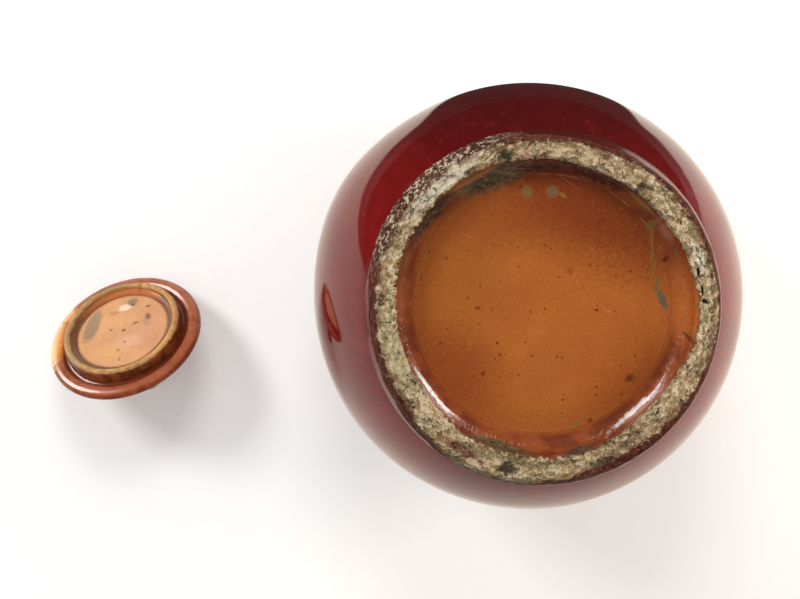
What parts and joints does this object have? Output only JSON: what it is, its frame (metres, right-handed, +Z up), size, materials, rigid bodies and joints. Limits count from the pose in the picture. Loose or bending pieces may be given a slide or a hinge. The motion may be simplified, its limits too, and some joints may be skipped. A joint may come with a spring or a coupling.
{
  "type": "lidded jar",
  "caption": "Squat globular glazed jar on a broad foot ring, turned over on its mouth, with its small domed lid lying underside up beside it.",
  "frame": {"origin": "bottom centre of the box round the jar and its lid as they lie on a table, the jar turned over on its mouth", "axes": "+X from the lid towards the jar, +Z up from the table, which is from the mouth towards the foot ring of the jar"},
  "size_m": [0.3764, 0.22, 0.184],
  "materials": {
    "oxblood_glaze": "glossy oxblood glaze",
    "bare_foot": "unglazed, crusted with kiln grit",
    "amber_glaze": "glossy crazed amber glaze",
    "bare_collar": "unglazed, worn",
    "bare_disc": "unglazed tan clay with kiln marks"
  },
  "bodies": {
    "jar": {"foot_ring": "bare_foot", "base_dish": "amber_glaze", "body_lower": "oxblood_glaze", "body_upper": "oxblood_glaze", "neck_and_lip": "oxblood_glaze"},
    "lid": {"lid_dome": "amber_glaze", "lid_collar": "bare_collar", "lid_disc": "bare_disc", "lid_knob": "amber_glaze"}
  },
  "joints": [
    {"name": "lid_lift", "type": "slide", "parent": "jar", "child": "lid", "axis": [0, 0, 1], "range_m": [0, 0.25]}
  ]
}
